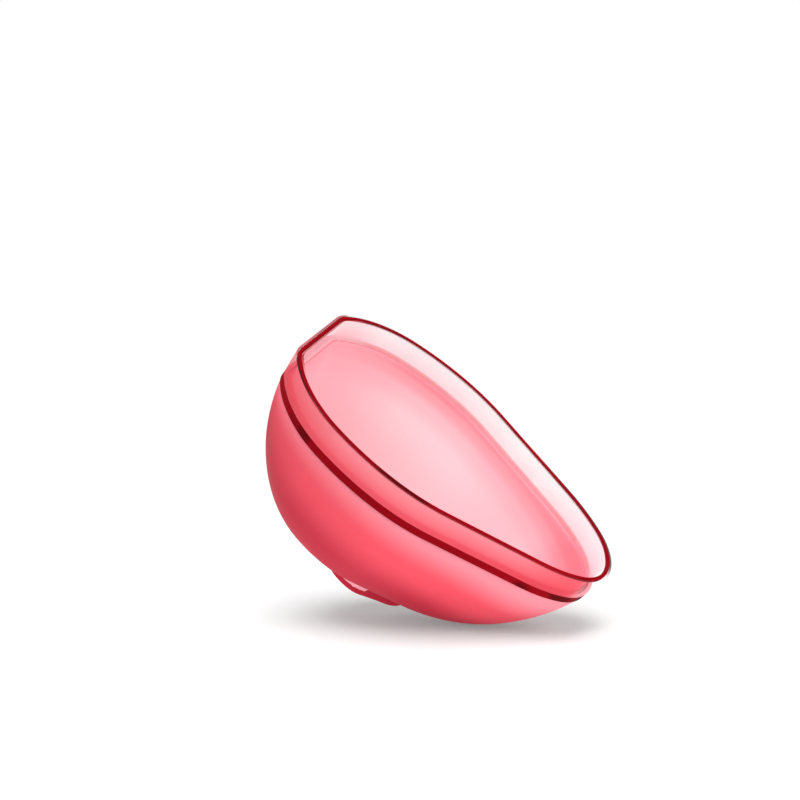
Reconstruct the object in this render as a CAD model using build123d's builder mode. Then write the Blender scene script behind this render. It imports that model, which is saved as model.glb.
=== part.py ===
# A hand-squeezed cupping cup: a soft bowl, a clear wall round its mouth, a lip bead in
# the wall's top face, a band that clamps the wall to the bowl, and a foot pad.
# Millimetres. +Z is up out of the mouth, +X points to the nose, the XZ plane is the
# plane of symmetry, and the origin is on the foot's face below the middle of the length.
from build123d import *
import os

os.makedirs("parts", exist_ok=True)

# Overall sizes
mouth_length = 80.7      # flat end to nose, over the clear wall
mouth_width = 54.9       # at the widest place
corner_radius = 7.6      # at both ends of the flat end
collar_height = 5.9      # clear wall, from the bowl's edge to its top face
bowl_depth = 34.5        # from the bowl's edge to its underside
foot_height = 1.2        # how far the foot pad stands out below the bowl

# Walls and details
bowl_wall = 2.6          # at the bowl's edge
crown_wall = 4.0         # at the bottom of the bowl
crown_x = -5.3           # deepest place of the bowl along X
edge_round = 0.5         # inner edge of the bowl, below the clear wall
collar_wall = 1.8
collar_flare = 0.4       # how far the clear wall leans out from its base to its top
bead_width = 0.8         # lip bead, let into the wall's top face
bead_depth = 0.5
bead_proud = 0.15
bead_round = 0.12
band_height = 1.9        # clamping band round the joint
band_wall = 0.7
band_round = 0.3         # lower outer edge of the band
skirt_wall = 0.4         # thin skirt of the clear wall, held under the band
skirt_depth = 1.4
foot_length = 21.8
foot_width = 20.4
foot_x = 2.4             # middle of the foot pad
foot_seat = 2.3          # how deep the foot pad is let into the bowl's underside
foot_edge = 0.7          # rounding of the foot's lower edge
fit_gap = 0.05           # between pieces that are pushed together
seat_gap = 0.10          # round the foot pad in its seat

# Egg outline from the nose back to the flat end, as a chain of tangent arcs: each place
# is a share of the length from the flat end, and a share of the half width
outline_places = [(1.000, 0.000), (0.937, 0.394), (0.820, 0.596), (0.549, 0.903),
                  (0.401, 0.997), (0.207, 0.940), (0.000, 0.427)]

# Side of the bowl: how its outline closes with depth, and where its sections are
side_rise = 1.44
side_round = 3.05
depth_shares = [0.0, 0.10, 0.22, 0.36, 0.50, 0.64, 0.77, 0.875, 0.945, 0.982, 0.996]

# Levels, and how far each face lies inside the mouth's outline
rim_z = foot_height + bowl_depth
lip_z = rim_z + collar_height
rim_inset = collar_flare
band_inner = rim_inset + band_wall
skirt_outer = band_inner + fit_gap
skirt_inner = skirt_outer + skirt_wall
neck_inset = skirt_inner + fit_gap
bead_inset = (collar_wall - bead_width) / 2
step_margin = 1.0        # the cut for the bowl's step starts this far outside it


def egg_face(length, width, corner, middle, level, inset=0.0, wall=0.0, size=1.0):
    """Egg-shaped face at a level, flat at -X and round at +X.

    It is brought in by inset all round. With a wall it is a ring that thick, and with a
    size below 1 it is shrunk towards the crown's axis.
    """
    places = [(middle - crown_x + (along - 0.5) * length, across * width / 2)
              for along, across in outline_places]
    with BuildSketch(Plane((crown_x, 0, level))) as outline:
        with BuildLine():
            heading = (0, 1)
            for start, stop in zip(places, places[1:]):
                arc = TangentArc(start, stop, tangent=heading)
                heading = arc % 1
            Line(places[-1], (places[-1][0], 0))
            mirror(about=Plane.XZ)
        make_face()
        fillet(outline.vertices().group_by(Axis.X)[0], radius=corner)
        if inset:
            offset(amount=-inset, mode=Mode.REPLACE)
        if wall:
            offset(amount=-wall, mode=Mode.SUBTRACT)
        if size < 1:
            scale(by=size)
    return outline.sketch


def mouth_face(level, inset=0.0, wall=0.0, size=1.0):
    return egg_face(mouth_length, mouth_width, corner_radius, 0.0, level, inset, wall, size)


def foot_face(level, inset=0.0):
    foot_corner = corner_radius * foot_length / mouth_length
    return egg_face(foot_length, foot_width, foot_corner, foot_x, level, inset)


def add_bowl_sections(inset, depth):
    """Outlines of a bowl, from its edge down to its flat crown."""
    for share in depth_shares:
        closed = (1 - share ** side_rise) ** (1 / side_round)
        add(mouth_face(rim_z - share * depth, inset, size=closed))


# Soft bowl: thicker at the crown, where the foot pad is let in, and stepped back round
# its edge for the clear wall's skirt and the band
with BuildPart() as bowl:
    add_bowl_sections(rim_inset, bowl_depth)
    loft()
    add_bowl_sections(rim_inset + bowl_wall, bowl_depth - crown_wall)
    loft(mode=Mode.SUBTRACT)
    add(mouth_face(rim_z - band_height, -step_margin, neck_inset + step_margin))
    extrude(amount=band_height, mode=Mode.SUBTRACT)
    add(foot_face(0, -seat_gap))
    extrude(amount=foot_height + foot_seat, mode=Mode.SUBTRACT)
    rim_face = bowl.faces().filter_by(Axis.Z).sort_by(Axis.Z)[-1]
    fillet(rim_face.inner_wires()[0].edges(), radius=edge_round)

# Clear wall: it leans out a little, stands on the bowl's edge, and its skirt goes down
# between the bowl's neck and the band
with BuildPart() as rim_collar:
    add(mouth_face(rim_z, rim_inset))
    add(mouth_face(lip_z))
    loft()
    add(mouth_face(rim_z, rim_inset + collar_wall))
    add(mouth_face(lip_z, collar_wall))
    loft(mode=Mode.SUBTRACT)
    add(mouth_face(lip_z - bead_depth, bead_inset - fit_gap, bead_width + 2 * fit_gap))
    extrude(amount=bead_depth, mode=Mode.SUBTRACT)
    add(mouth_face(rim_z - skirt_depth, skirt_outer, skirt_wall))
    extrude(amount=skirt_depth)

# Lip bead, let into the wall's top face and a little proud of it
with BuildPart() as lip_bead:
    add(mouth_face(lip_z - bead_depth, bead_inset, bead_width))
    extrude(amount=bead_depth + bead_proud)
    fillet(lip_bead.edges().group_by(Axis.Z)[-1], radius=bead_round)

# Band round the joint, flush with the wall above it
with BuildPart() as joint_band:
    add(mouth_face(rim_z - band_height, rim_inset, band_wall))
    extrude(amount=band_height)
    outer_edges = joint_band.faces().sort_by(Axis.Z)[0].outer_wire().edges()
    fillet(outer_edges, radius=band_round)

# Foot pad, let into the bowl's underside
with BuildPart() as foot_pad:
    add(foot_face(0))
    extrude(amount=foot_height + foot_seat)
    fillet(foot_pad.edges().group_by(Axis.Z)[0], radius=foot_edge)

pieces = {"bowl": bowl, "rim_collar": rim_collar, "lip_bead": lip_bead,
          "joint_band": joint_band, "foot_pad": foot_pad}
for name, piece in pieces.items():
    piece.part.label = name
    export_step(piece.part, f"parts/{name}.step")
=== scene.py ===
"""Looks for the hand-squeezed cupping cup: soft coral bowl, clear wall, dark red seals."""
import math

import bpy
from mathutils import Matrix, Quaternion, Vector


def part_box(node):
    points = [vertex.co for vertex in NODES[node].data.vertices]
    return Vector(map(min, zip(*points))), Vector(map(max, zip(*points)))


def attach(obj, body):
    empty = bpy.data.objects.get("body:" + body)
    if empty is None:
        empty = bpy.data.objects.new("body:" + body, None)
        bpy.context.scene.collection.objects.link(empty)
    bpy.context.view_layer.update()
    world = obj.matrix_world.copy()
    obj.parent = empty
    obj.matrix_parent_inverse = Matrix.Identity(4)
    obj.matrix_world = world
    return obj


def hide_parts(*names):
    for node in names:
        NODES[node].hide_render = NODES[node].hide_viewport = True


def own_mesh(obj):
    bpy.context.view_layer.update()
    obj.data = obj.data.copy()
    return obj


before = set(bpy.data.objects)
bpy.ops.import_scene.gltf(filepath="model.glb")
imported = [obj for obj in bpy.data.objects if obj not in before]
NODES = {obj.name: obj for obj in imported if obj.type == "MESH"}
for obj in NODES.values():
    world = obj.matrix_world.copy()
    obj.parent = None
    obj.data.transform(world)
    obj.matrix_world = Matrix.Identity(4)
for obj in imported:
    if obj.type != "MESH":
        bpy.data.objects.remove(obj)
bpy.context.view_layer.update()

# ---------------------------------------------------------------- places
BOWL_LOW, BOWL_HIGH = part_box("bowl")
WALL_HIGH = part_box("rim_collar")[1]
RIM_Z = BOWL_HIGH[2]          # the bowl's edge, where the clear wall stands
LIP_Z = WALL_HIGH[2]

# ---------------------------------------------------------------- colours
# The INSIDE, OUTSIDE and WALL colours below hold painted shade and painted light
INSIDE_BOTTOM = (1.00, 0.42, 0.48)
INSIDE_MIDDLE = (1.00, 0.51, 0.55)
INSIDE_UPPER = (1.00, 0.64, 0.68)
INSIDE_HIGH = (1.00, 0.54, 0.59)
INSIDE_EDGE = (1.00, 0.38, 0.43)
INSIDE_RIM = (1.00, 0.24, 0.29)
INSIDE_WIDE_END = (1.00, 0.40, 0.46)
INSIDE_NOSE = (1.00, 0.30, 0.36)
INSIDE_TIP = (1.00, 0.10, 0.14)
OUTSIDE_LOW = (0.58, 0.022, 0.048)
OUTSIDE_MIDDLE = (0.58, 0.026, 0.054)
OUTSIDE_UPPER = (0.88, 0.086, 0.126)
OUTSIDE_TOP = (1.00, 0.290, 0.350)
OUTSIDE_WIDE_END = (0.50, 0.010, 0.026)
WALL_LIP = (1.00, 0.185, 0.230)
WALL_BASE = (0.92, 0.055, 0.095)
WALL_WIDE_END = (0.86, 0.045, 0.075)
WALL_NOSE = (1.00, 0.72, 0.76)
UNDERSIDE = (1.00, 0.170, 0.220)
SEAL_LIGHT = (0.38, 0.001, 0.008)
SEAL_DARK = (0.28, 0.000, 0.005)
MARGIN_RED = (0.55, 0.004, 0.022)
# Dense dark red for random blotches in the seals; also painted shadow at the clear wall's flat-end
# corner
DENSE_RED_AND_EDGE_SHADOW = (0.07, 0.000, 0.001)
# Painted shadow: near-black grey-green on the clear wall's outer top edge at the nose
EDGE_SHADOW = (0.020, 0.026, 0.025)

VIEW_DIP = math.radians(-1.5)    # how far the view looks down on the floor
FLOOR_GAP = 0.0001               # the floor lies this far below the cup
FLOOR_SIZE = 6.0
TOP_DROP = 0.000015              # bowl and band stay this far below the clear wall's underside

# The cup leans on its belly, so the room is turned in the cup's own axes
LEVEL_UP = (Vector((-0.6335, 0.3716, 0.6786)) * math.cos(VIEW_DIP)
            + Vector((0.0157, -0.8707, 0.4915)) * math.sin(VIEW_DIP)).normalized()
LEVEL_RIGHT = Vector((0.774, 0.322, 0.546))
LEVEL_RIGHT = (LEVEL_RIGHT - LEVEL_UP * LEVEL_RIGHT.dot(LEVEL_UP)).normalized()
LEVEL_FRONT = LEVEL_RIGHT.cross(LEVEL_UP).normalized()


# ---------------------------------------------------------------- node helpers
def new_material(name):
    """A material with only an output and a Principled shader."""
    material = bpy.data.materials.new(name)
    material.use_nodes = True
    nodes = material.node_tree.nodes
    shader = nodes.get("Principled BSDF")
    return material, nodes, material.node_tree.links, shader


def ramp(nodes, stops):
    """Colour ramp through the given (place, colour) stops."""
    node = nodes.new("ShaderNodeValToRGB")
    elements = node.color_ramp.elements
    while len(elements) < len(stops):
        elements.new(0.5)
    for element, (place, colour) in zip(elements, stops):
        element.position = place
        element.color = (*colour, 1.0)
    node.color_ramp.interpolation = "EASE"
    return node


def map_range(nodes, links, source, low, high, to_low=0.0, to_high=1.0):
    """A value taken from one range to another, with soft ends."""
    node = nodes.new("ShaderNodeMapRange")
    node.interpolation_type = "SMOOTHSTEP"
    node.inputs["From Min"].default_value = low
    node.inputs["From Max"].default_value = high
    node.inputs["To Min"].default_value = to_low
    node.inputs["To Max"].default_value = to_high
    links.new(source, node.inputs["Value"])
    return node.outputs["Result"]


def math_node(nodes, links, operation, first, second=None):
    """A Math node on two sockets or numbers."""
    node = nodes.new("ShaderNodeMath")
    node.operation = operation
    for socket, value in zip(node.inputs, (first, second)):
        if value is None:
            continue
        if isinstance(value, (int, float)):
            socket.default_value = value
        else:
            links.new(value, socket)
    return node.outputs[0]


def mix_colour(nodes, links, share, first, second, blend="MIX"):
    """Mix of two colours; each colour is a socket or an (r, g, b)."""
    node = nodes.new("ShaderNodeMix")
    node.data_type = "RGBA"
    node.blend_type = blend
    if isinstance(share, (int, float)):
        node.inputs[0].default_value = share
    else:
        links.new(share, node.inputs[0])
    for socket, value in ((node.inputs[6], first), (node.inputs[7], second)):
        if isinstance(value, tuple):
            socket.default_value = (*value, 1.0)
        else:
            links.new(value, socket)
    return node.outputs[2]


def along(nodes, links, direction):
    """Distance along a direction, in metres, from Object coordinates."""
    coordinates = nodes.new("ShaderNodeTexCoord")
    dot = nodes.new("ShaderNodeVectorMath")
    dot.operation = "DOT_PRODUCT"
    dot.inputs[1].default_value = direction
    links.new(coordinates.outputs["Object"], dot.inputs[0])
    return dot.outputs["Value"]


# ---------------------------------------------------------------- shared effects
def make_silicone_grain():
    """Group: the fine uneven skin of moulded silicone, with faint flow marks and dust."""
    group = bpy.data.node_groups.new("silicone_grain", "ShaderNodeTree")
    group.interface.new_socket("Grain Scale", in_out="INPUT", socket_type="NodeSocketFloat")
    group.interface.new_socket("Strength", in_out="INPUT", socket_type="NodeSocketFloat")
    group.interface.new_socket("Tone", in_out="OUTPUT", socket_type="NodeSocketFloat")
    group.interface.new_socket("Roughness", in_out="OUTPUT", socket_type="NodeSocketFloat")
    group.interface.new_socket("Normal", in_out="OUTPUT", socket_type="NodeSocketVector")
    nodes = group.nodes
    links = group.links
    given = nodes.new("NodeGroupInput")
    result = nodes.new("NodeGroupOutput")
    coordinates = nodes.new("ShaderNodeTexCoord")

    grain = nodes.new("ShaderNodeTexNoise")
    grain.inputs["Detail"].default_value = 3.0
    links.new(coordinates.outputs["Object"], grain.inputs["Vector"])
    links.new(given.outputs["Grain Scale"], grain.inputs["Scale"])

    flow = nodes.new("ShaderNodeTexNoise")
    flow.inputs["Scale"].default_value = 22.0
    flow.inputs["Detail"].default_value = 2.0
    flow.inputs["Distortion"].default_value = 0.6
    links.new(coordinates.outputs["Object"], flow.inputs["Vector"])

    bump = nodes.new("ShaderNodeBump")
    bump.inputs["Distance"].default_value = 0.00003
    links.new(given.outputs["Strength"], bump.inputs["Strength"])
    links.new(grain.outputs["Fac"], bump.inputs["Height"])

    tone = map_range(nodes, links, flow.outputs["Fac"], 0.3, 0.7)
    rough = map_range(nodes, links, flow.outputs["Fac"], 0.25, 0.75, 0.46, 0.60)
    links.new(tone, result.inputs["Tone"])
    links.new(rough, result.inputs["Roughness"])
    links.new(bump.outputs["Normal"], result.inputs["Normal"])
    return group


SILICONE_GRAIN = make_silicone_grain()


def add_grain(nodes, links, shader, scale, strength):
    """Places the silicone grain in a material and gives its tone mask."""
    grain = nodes.new("ShaderNodeGroup")
    grain.node_tree = SILICONE_GRAIN
    grain.inputs["Grain Scale"].default_value = scale
    grain.inputs["Strength"].default_value = strength
    links.new(grain.outputs["Normal"], shader.inputs["Normal"])
    links.new(grain.outputs["Roughness"], shader.inputs["Roughness"])
    return grain.outputs["Tone"]


# ---------------------------------------------------------------- materials
def facing_out(nodes, links, middle, flat=False):
    """1 where a face looks away from the middle of the cup, 0 where it looks at it."""
    coordinates = nodes.new("ShaderNodeTexCoord")
    outwards = nodes.new("ShaderNodeVectorMath")
    outwards.operation = "SUBTRACT"
    outwards.inputs[1].default_value = middle
    links.new(coordinates.outputs["Object"], outwards.inputs[0])
    level = nodes.new("ShaderNodeVectorMath")
    level.operation = "MULTIPLY"
    level.inputs[1].default_value = (1.0, 1.0, 0.0) if flat else (1.0, 1.0, 1.0)
    links.new(outwards.outputs["Vector"], level.inputs[0])
    geometry = nodes.new("ShaderNodeNewGeometry")
    facing = nodes.new("ShaderNodeVectorMath")
    facing.operation = "DOT_PRODUCT"
    links.new(level.outputs["Vector"], facing.inputs[0])
    links.new(geometry.outputs["Normal"], facing.inputs[1])
    return map_range(nodes, links, facing.outputs["Value"], -0.001, 0.001)


def make_coral_silicone():
    """Coral silicone: pale inside, deeper coral outside and at the edge, with painted shade and a
    painted glow.
    """
    material, nodes, links, shader = new_material("coral_silicone")
    height = along(nodes, links, (0.0, 0.0, 1.0))
    length = along(nodes, links, (1.0, 0.0, 0.0))

    # Inside: painted shade, palest in the upper middle and darker low down, towards the edge, at the
    # wide end and along the narrow nose
    towards_edge = map_range(nodes, links, height, 0.0, RIM_Z)
    towards_edge.node.interpolation_type = "LINEAR"
    nose = map_range(nodes, links, length, 0.012, 0.042, 0.0, 0.10)
    shade_depth = math_node(nodes, links, "ADD", towards_edge, nose)
    depth_shade = ramp(nodes, [(0.00, INSIDE_BOTTOM), (0.38, INSIDE_MIDDLE),
                              (0.72, INSIDE_UPPER), (0.85, INSIDE_HIGH),
                              (0.94, INSIDE_EDGE), (1.00, INSIDE_RIM)])
    links.new(shade_depth, depth_shade.inputs["Fac"])
    wide_end = map_range(nodes, links, length, -0.014, -0.037, 0.0, 0.75)
    wide_end_shade = mix_colour(nodes, links, wide_end, depth_shade.outputs["Color"], INSIDE_WIDE_END)
    nose_end = map_range(nodes, links, length, -0.012, 0.026, 0.0, 0.45)
    nose_shade = mix_colour(nodes, links, nose_end, wide_end_shade, INSIDE_NOSE)
    at_tip = map_range(nodes, links, length, 0.025, 0.039, 0.0, 0.65)
    inner = mix_colour(nodes, links, at_tip, nose_shade, INSIDE_TIP)

    # Outside: painted shade, deepest low down and at the wide end, and painted light, lightest under
    # the band
    lit_side = along(nodes, links, (0.10, 0.0, 1.0))
    rising = map_range(nodes, links, lit_side, 0.0, 0.0355)
    rising.node.interpolation_type = "LINEAR"
    height_shade = ramp(nodes, [(0.00, OUTSIDE_LOW), (0.35, OUTSIDE_MIDDLE),
                               (0.70, OUTSIDE_UPPER), (1.00, OUTSIDE_TOP)])
    links.new(rising, height_shade.inputs["Fac"])
    behind = map_range(nodes, links, length, -0.020, -0.040, 0.0, 0.85)
    below = map_range(nodes, links, height, RIM_Z, RIM_Z * 0.55)
    flat_end = math_node(nodes, links, "MULTIPLY", behind, below)
    outer = mix_colour(nodes, links, flat_end, height_shade.outputs["Color"], OUTSIDE_WIDE_END)

    is_outer = facing_out(nodes, links, (-0.005, 0.0, 0.040))
    tone = add_grain(nodes, links, shader, 1400.0, 0.25)
    colour = mix_colour(nodes, links, is_outer, inner, outer)
    clouded = mix_colour(nodes, links, 0.02, colour, (1.0, 0.55, 0.60))
    varied = mix_colour(nodes, links, tone, clouded, colour)

    # Light that leaves the cup for its neighbours is kept close to white, as in a white studio
    path = nodes.new("ShaderNodeLightPath")
    passed_on = math_node(nodes, links, "MULTIPLY", path.outputs["Is Diffuse Ray"], 0.85)
    studio = mix_colour(nodes, links, passed_on, varied, (0.62, 0.58, 0.58))
    links.new(studio, shader.inputs["Base Color"])

    # Painted glow, not passed on as diffuse light: the silicone glows inside, and outside more and
    # more towards the nose
    glow_share = map_range(nodes, links, length, -0.035, 0.032, 0.05, 0.54)
    outer_glow = mix_colour(nodes, links, glow_share, (0.0, 0.0, 0.0), outer)
    inner_glow = mix_colour(nodes, links, 0.75, (0.0, 0.0, 0.0), inner)
    painted_glow = mix_colour(nodes, links, is_outer, inner_glow, outer_glow)
    kept = mix_colour(nodes, links, path.outputs["Is Diffuse Ray"], painted_glow, (0.0, 0.0, 0.0))
    links.new(kept, shader.inputs["Emission Color"])
    shader.inputs["Emission Strength"].default_value = 0.45
    shader.inputs["Subsurface Weight"].default_value = 0.20
    shader.inputs["Subsurface Radius"].default_value = (0.004, 0.0012, 0.0014)
    shader.inputs["Subsurface Scale"].default_value = 1.0
    shader.inputs["Specular IOR Level"].default_value = 0.04
    return material


def make_clear_wall():
    """Clear, faintly pink wall: it tints what is behind it, more at its base; painted shade on its
    outer face, a painted glow on its inner face.
    """
    material, nodes, links, shader = new_material("clear_pink_wall")
    height = along(nodes, links, (0.0, 0.0, 1.0))
    length = along(nodes, links, (1.0, 0.0, 0.0))
    geometry = nodes.new("ShaderNodeNewGeometry")
    is_outer = facing_out(nodes, links, (0.0, 0.0, 0.0), flat=True)

    # Outer face: painted shade, coral and darkest at its base, at the flat end and near the nose,
    # lighter towards the lip, pale at the nose tip
    base = map_range(nodes, links, height, LIP_Z, RIM_Z)
    base.node.interpolation_type = "LINEAR"
    wall_shade = mix_colour(nodes, links, base, WALL_LIP, WALL_BASE)
    flat_end = map_range(nodes, links, length, -0.018, -0.034, 0.0, 0.85)
    end_shade = mix_colour(nodes, links, flat_end, wall_shade, WALL_WIDE_END)
    near_nose = map_range(nodes, links, length, 0.014, 0.033, 0.0, 0.70)
    nose_shade = mix_colour(nodes, links, near_nose, end_shade, WALL_WIDE_END)
    at_nose = map_range(nodes, links, length, 0.035, 0.0385)
    outer = mix_colour(nodes, links, at_nose, nose_shade, WALL_NOSE)

    # Inner face: milky pink, coral at the flat end and warmer at the nose
    place = map_range(nodes, links, length, -0.040, 0.040)
    place.node.interpolation_type = "LINEAR"
    inner = ramp(nodes, [(0.00, (0.98, 0.48, 0.54)), (0.03, (0.98, 0.52, 0.57)),
                         (0.14, (0.98, 0.76, 0.79)), (0.75, (0.98, 0.78, 0.80)),
                         (0.93, (0.99, 0.62, 0.67)), (1.00, (1.00, 0.48, 0.54))])
    links.new(place, inner.inputs["Fac"])
    low_strip = map_range(nodes, links, height, RIM_Z + 0.0014, RIM_Z + 0.0008)
    off_flat_end = map_range(nodes, links, length, -0.036, -0.030)
    foot_of_wall = math_node(nodes, links, "MULTIPLY", low_strip, off_flat_end)
    inner_tint = mix_colour(nodes, links, foot_of_wall, inner.outputs["Color"], INSIDE_RIM)
    mixed_colour = mix_colour(nodes, links, is_outer, inner_tint, outer)

    # Underside: coral, because it lies on the bowl's edge
    upright = nodes.new("ShaderNodeSeparateXYZ")
    links.new(geometry.outputs["True Normal"], upright.inputs["Vector"])
    flat = math_node(nodes, links, "ABSOLUTE", upright.outputs["Z"])
    level_face = math_node(nodes, links, "GREATER_THAN", flat, 0.9)
    low = math_node(nodes, links, "LESS_THAN", height, RIM_Z + 0.0002)
    underside = math_node(nodes, links, "MULTIPLY", level_face, low)
    colour = mix_colour(nodes, links, underside, mixed_colour, UNDERSIDE)
    tone = add_grain(nodes, links, shader, 900.0, 0.05)
    clouded = mix_colour(nodes, links, 0.04, colour, (1.0, 0.60, 0.65))
    varied = mix_colour(nodes, links, tone, clouded, colour)
    links.new(varied, shader.inputs["Base Color"])
    # Painted glow: the inner face glows in its own pale colour
    painted_glow = mix_colour(nodes, links, is_outer, inner.outputs["Color"], (0.0, 0.0, 0.0))
    links.new(painted_glow, shader.inputs["Emission Color"])
    shader.inputs["Emission Strength"].default_value = 0.26
    shader.inputs["Coat Weight"].default_value = 0.08
    shader.inputs["Coat Roughness"].default_value = 0.12
    shader.inputs["Specular IOR Level"].default_value = 0.10

    # How much each face hides: the outer face less at the nose, the far outer face nothing
    front = math_node(nodes, links, "SUBTRACT", 1.0, geometry.outputs["Backfacing"])
    nose = map_range(nodes, links, length, 0.034, 0.0385, 1.0, 0.30)
    outer_tint = map_range(nodes, links, height, LIP_Z, RIM_Z, 0.74, 0.95)
    outer_alpha = math_node(nodes, links, "MULTIPLY", outer_tint, nose)
    inner_alpha = map_range(nodes, links, height, LIP_Z, RIM_Z + 0.001, 0.55, 0.92)
    spread = math_node(nodes, links, "SUBTRACT", outer_alpha, inner_alpha)
    chosen = math_node(nodes, links, "MULTIPLY", spread, is_outer)
    sides = math_node(nodes, links, "ADD", chosen, inner_alpha)
    seen = math_node(nodes, links, "MULTIPLY", sides, front)
    alpha = math_node(nodes, links, "MAXIMUM", seen, underside)
    links.new(alpha, shader.inputs["Alpha"])
    return material


def make_seal_silicone():
    """Dark red silicone of the lip bead and the band, cloudy along its length."""
    material, nodes, links, shader = new_material("dark_red_silicone")
    tone = add_grain(nodes, links, shader, 1100.0, 0.15)
    coordinates = nodes.new("ShaderNodeTexCoord")
    cloud = nodes.new("ShaderNodeTexNoise")
    cloud.inputs["Scale"].default_value = 95.0
    cloud.inputs["Detail"].default_value = 1.0
    links.new(coordinates.outputs["Object"], cloud.inputs["Vector"])
    dense = map_range(nodes, links, cloud.outputs["Fac"], 0.60, 0.70, 0.0, 0.75)
    colour = mix_colour(nodes, links, tone, SEAL_DARK, SEAL_LIGHT)
    clouded = mix_colour(nodes, links, dense, colour, DENSE_RED_AND_EDGE_SHADOW)
    path = nodes.new("ShaderNodeLightPath")
    passed_on = math_node(nodes, links, "MULTIPLY", path.outputs["Is Diffuse Ray"], 0.85)
    studio = mix_colour(nodes, links, passed_on, clouded, (0.10, 0.09, 0.09))
    links.new(studio, shader.inputs["Base Color"])
    shader.inputs["Specular IOR Level"].default_value = 0.03
    return material


def make_shadowed_edge():
    """Outer top edge of the clear wall: clear, with painted shadow along the far side of the nose
    and at the flat end's near corner, and dark red on the flat end's face.
    """
    material, nodes, links, shader = new_material("shadowed_edge")
    length = along(nodes, links, (1.0, 0.0, 0.0))
    across = along(nodes, links, (0.02, 1.0, 0.0))
    at_nose = map_range(nodes, links, length, 0.004, 0.026)
    far_side = map_range(nodes, links, across, -0.006, 0.003)
    shadowed_nose_side = math_node(nodes, links, "MULTIPLY", at_nose, far_side)
    at_corner = map_range(nodes, links, length, -0.024, -0.033)
    near_side = math_node(nodes, links, "SUBTRACT", 1.0, far_side)
    corner = math_node(nodes, links, "MULTIPLY", at_corner, near_side)
    tone = add_grain(nodes, links, shader, 1000.0, 0.05)
    # Painted shadow: near-black along the far side of the nose's outer top edge
    nose_shadow_colour = mix_colour(nodes, links, shadowed_nose_side, WALL_LIP, EDGE_SHADOW)
    flat_face = map_range(nodes, links, length, -0.0385, -0.0395)
    # At the flat end: dark red on its face, painted shadow on the top edge beside it
    corner_tint = mix_colour(nodes, links, flat_face, DENSE_RED_AND_EDGE_SHADOW, MARGIN_RED)
    tint = mix_colour(nodes, links, at_corner, nose_shadow_colour, corner_tint)
    clouded = mix_colour(nodes, links, 0.04, tint, (1.0, 0.60, 0.65))
    varied = mix_colour(nodes, links, tone, clouded, tint)
    links.new(varied, shader.inputs["Base Color"])
    flat_share = math_node(nodes, links, "MULTIPLY", flat_face, 0.80)
    off_flat_face = math_node(nodes, links, "SUBTRACT", 1.0, flat_face)
    part = math_node(nodes, links, "MULTIPLY", corner, off_flat_face)
    darkened = math_node(nodes, links, "MAXIMUM", shadowed_nose_side, part)
    whole = math_node(nodes, links, "MAXIMUM", darkened, flat_share)
    alpha = map_range(nodes, links, whole, 0.0, 1.0, 0.15, 0.92)
    links.new(alpha, shader.inputs["Alpha"])
    shader.inputs["Specular IOR Level"].default_value = 0.10
    return material


def make_deep_edge():
    """Inner top edge of the clear wall: clear, and dark red at the flat end."""
    material, nodes, links, shader = new_material("deep_edge")
    length = along(nodes, links, (1.0, 0.0, 0.0))
    deep = map_range(nodes, links, length, -0.034, -0.038)
    tone = add_grain(nodes, links, shader, 1000.0, 0.05)
    tint = mix_colour(nodes, links, deep, WALL_LIP, MARGIN_RED)
    varied = mix_colour(nodes, links, tone, tint, SEAL_LIGHT)
    mixed_colour = mix_colour(nodes, links, deep, WALL_LIP, varied)
    links.new(mixed_colour, shader.inputs["Base Color"])
    alpha = map_range(nodes, links, deep, 0.0, 1.0, 0.15, 0.80)
    links.new(alpha, shader.inputs["Alpha"])
    shader.inputs["Specular IOR Level"].default_value = 0.05
    return material


def make_floor_paint():
    """Plain white floor, unseen from below."""
    material, nodes, links, shader = new_material("white_floor")
    shader.inputs["Roughness"].default_value = 0.9
    shader.inputs["Specular IOR Level"].default_value = 0.0
    shader.inputs["Emission Color"].default_value = (1.0, 1.0, 1.0, 1.0)
    shader.inputs["Emission Strength"].default_value = 0.13
    coordinates = nodes.new("ShaderNodeTexCoord")
    mottle = nodes.new("ShaderNodeTexNoise")
    mottle.inputs["Scale"].default_value = 6.0
    links.new(coordinates.outputs["Object"], mottle.inputs["Vector"])
    colour = mix_colour(nodes, links, mottle.outputs["Fac"], (0.93, 0.93, 0.93), (0.95, 0.95, 0.95))
    links.new(colour, shader.inputs["Base Color"])
    geometry = nodes.new("ShaderNodeNewGeometry")
    clear = nodes.new("ShaderNodeBsdfTransparent")
    mix = nodes.new("ShaderNodeMixShader")
    links.new(geometry.outputs["Backfacing"], mix.inputs["Fac"])
    links.new(shader.outputs["BSDF"], mix.inputs[1])
    links.new(clear.outputs["BSDF"], mix.inputs[2])
    links.new(mix.outputs["Shader"], nodes["Material Output"].inputs["Surface"])
    return material


CORAL = make_coral_silicone()
CLEAR = make_clear_wall()
DARK_RED = make_seal_silicone()
SHADOWED_EDGE = make_shadowed_edge()
DEEP = make_deep_edge()


def give(piece, material):
    """The piece wears this material all over."""
    piece.data.materials.clear()
    piece.data.materials.append(material)


# ---------------------------------------------------------------- soft pieces
def merged_copy(node, name):
    """A copy of a CAD node's mesh, merged and smooth, with none of its mesh selected."""
    bpy.ops.object.select_all(action="DESELECT")
    source = NODES[node]
    piece = source.copy()
    piece.data = source.data.copy()
    piece.name = name
    piece.data.name = name
    bpy.context.collection.objects.link(piece)
    piece.parent = None
    bpy.context.view_layer.objects.active = piece
    piece.select_set(True)
    bpy.ops.object.mode_set(mode="EDIT")
    bpy.ops.mesh.select_all(action="SELECT")
    bpy.ops.mesh.remove_doubles(threshold=0.000001)
    bpy.ops.mesh.select_all(action="DESELECT")
    bpy.ops.object.mode_set(mode="OBJECT")
    bpy.ops.object.shade_smooth_by_angle(angle=math.radians(35))
    return piece


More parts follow.
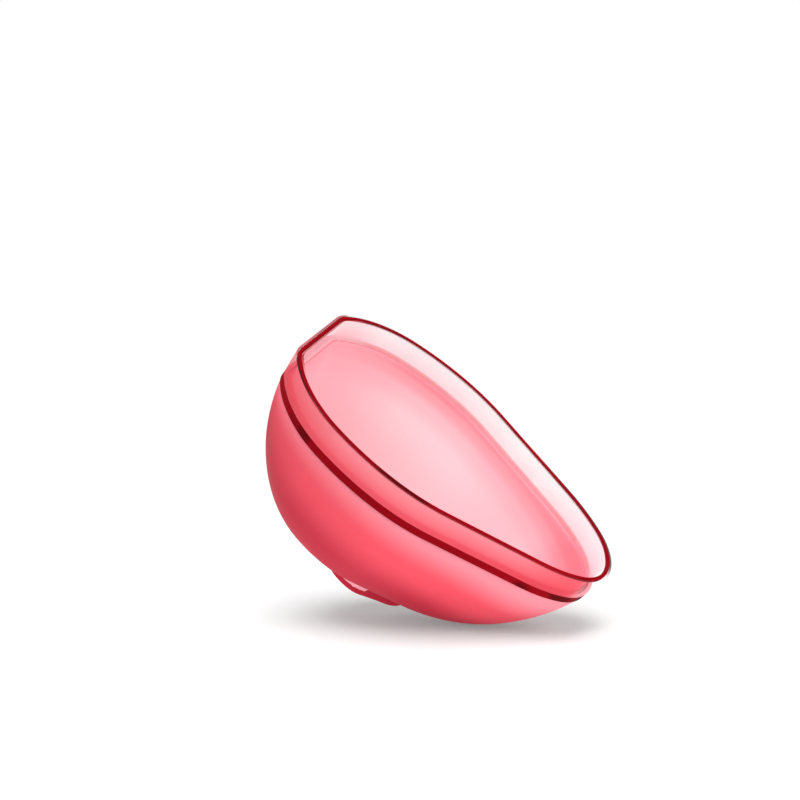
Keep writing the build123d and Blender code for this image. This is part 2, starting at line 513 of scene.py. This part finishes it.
def settle_top(piece, top, drop):
    """Lowers the topmost ring of a piece a little, so that it doesn't share the wall's underside."""
    for vertex in piece.data.vertices:
        vertex.select = vertex.co.z > top - 0.00001
    bpy.context.tool_settings.mesh_select_mode = (True, False, False)
    bpy.ops.object.mode_set(mode="EDIT")
    bpy.ops.transform.translate(value=(0.0, 0.0, -drop))
    bpy.ops.object.mode_set(mode="OBJECT")


def make_soft_bowl():
    """The bowl's own copy, riding on the cup."""
    bowl = merged_copy("bowl", "soft_bowl")
    settle_top(bowl, RIM_Z, TOP_DROP)
    give(bowl, CORAL)
    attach(bowl, "cup")
    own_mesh(bowl)
    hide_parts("bowl")
    return bowl


def make_seal_band():
    """The band's own copy, seated just below the clear wall."""
    band = merged_copy("joint_band", "seal_band")
    settle_top(band, RIM_Z, TOP_DROP)
    give(band, DARK_RED)
    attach(band, "cup")
    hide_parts("joint_band")
    return band


def top_rings(piece):
    """The top faces on both sides of the lip bead's groove: the inner ring, then the outer."""
    top = [face for face in piece.data.polygons
           if face.normal.z > 0.9 and face.center.z > LIP_Z - 0.0001]
    rings = []
    for face in top:
        corners = set(face.vertices)
        joined = [ring for ring in rings if ring["corners"] & corners]
        whole = {"corners": corners, "faces": [face]}
        for ring in joined:
            whole["corners"] |= ring["corners"]
            whole["faces"] += ring["faces"]
            rings.remove(ring)
        rings.append(whole)
    points = piece.data.vertices
    rings.sort(key=lambda ring: max(points[corner].co.x for corner in ring["corners"]))
    return rings[0]["faces"], rings[-1]["faces"]


def make_clear_ring():
    """The clear wall's own copy, with painted shadow and dark red in its top edges."""
    ring = merged_copy("rim_collar", "clear_ring")
    give(ring, CLEAR)
    ring.data.materials.append(SHADOWED_EDGE)
    ring.data.materials.append(DEEP)
    inner_top, outer_top = top_rings(ring)
    for face in outer_top:
        face.material_index = 1
    for face in inner_top:
        face.material_index = 2
    even = ring.modifiers.new("even_shading", "WEIGHTED_NORMAL")
    even.keep_sharp = True
    bpy.ops.object.modifier_apply(modifier=even.name)
    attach(ring, "cup")
    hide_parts("rim_collar")
    return ring


def make_lip_line():
    """The lip bead's own copy, seated in the clear wall's top face."""
    bead = merged_copy("lip_bead", "lip_line")
    give(bead, DARK_RED)
    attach(bead, "cup")
    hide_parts("lip_bead")
    return bead


def make_soft_foot():
    """The foot pad's own copy, which goes up with the crown."""
    foot = merged_copy("foot_pad", "soft_foot")
    give(foot, CORAL)
    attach(foot, "crown")
    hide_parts("foot_pad")
    return foot


soft_bowl = make_soft_bowl()
seal_band = make_seal_band()
clear_ring = make_clear_ring()
lip_line = make_lip_line()
soft_foot = make_soft_foot()


# ---------------------------------------------------------------- room
def lowest_place():
    """How far down the room's floor is: the cup's lowest point along the room's up."""
    return min(vertex.co.dot(LEVEL_UP) for vertex in soft_bowl.data.vertices)


def room_point(right, front, up):
    """A place in the room, measured from the middle of the cup."""
    middle = Vector((0.0, 0.0, 0.022))
    return middle + LEVEL_RIGHT * right + LEVEL_FRONT * front + LEVEL_UP * up


def make_floor():
    bpy.ops.object.select_all(action="DESELECT")
    turn = LEVEL_UP.to_track_quat("Z", "Y").to_euler()
    place = LEVEL_UP * (lowest_place() - FLOOR_GAP)
    bpy.ops.mesh.primitive_plane_add(size=FLOOR_SIZE, location=place, rotation=turn)
    floor = bpy.context.object
    floor.name = "room_floor"
    give(floor, make_floor_paint())


def add_light(name, place, size, power, colour=(1.0, 1.0, 1.0)):
    """A soft square light that looks at the cup."""
    data = bpy.data.lights.new(name, "AREA")
    data.size = size
    data.energy = power
    data.color = colour
    light = bpy.data.objects.new(name, data)
    bpy.context.collection.objects.link(light)
    spot = room_point(*place)
    light.location = spot
    light.rotation_euler = (room_point(0, 0, 0) - spot).to_track_quat("-Z", "Y").to_euler()


def add_sun():
    """A broad, soft light from overhead that whitens the whole floor evenly."""
    data = bpy.data.lights.new("overhead_light", "SUN")
    data.energy = 2.15
    data.angle = math.radians(42)
    light = bpy.data.objects.new("overhead_light", data)
    bpy.context.collection.objects.link(light)
    slope = (LEVEL_UP + LEVEL_FRONT * 0.46 - LEVEL_RIGHT * 0.11).normalized()
    light.rotation_euler = (-slope).to_track_quat("-Z", "Y").to_euler()


def make_world():
    world = bpy.data.worlds.new("white_room")
    world.use_nodes = True
    nodes = world.node_tree.nodes
    links = world.node_tree.links
    background = nodes["Background"]
    background.inputs["Color"].default_value = (1.0, 1.0, 1.0, 1.0)
    path = nodes.new("ShaderNodeLightPath")
    strength = map_range(nodes, links, path.outputs["Is Camera Ray"], 0.0, 1.0, 0.36, 1.0)
    links.new(strength, background.inputs["Strength"])
    bpy.context.scene.world = world


def make_camera():
    """Looks down into the mouth from in front, with the cup leaning to the right."""
    data = bpy.data.cameras.new("camera")
    camera = bpy.data.objects.new("camera", data)
    bpy.context.collection.objects.link(camera)
    place = Vector((-0.01431, -0.17795, 0.14155))
    aim = Vector((-0.01768, 0.00879, 0.03614))
    lean = math.radians(38.8)
    turn = (aim - place).to_track_quat("-Z", "Y") @ Quaternion((0, 0, 1), lean)
    camera.location = place
    camera.rotation_euler = turn.to_euler()
    data.lens = 42.8
    data.sensor_width = 36.0
    data.clip_start = 0.01
    bpy.context.scene.camera = camera


make_floor()
make_world()
add_sun()
add_light("front_light", (0.55, 0.45, 0.40), 0.50, 0.9)
make_camera()
bpy.context.scene.view_settings.view_transform = "Standard"
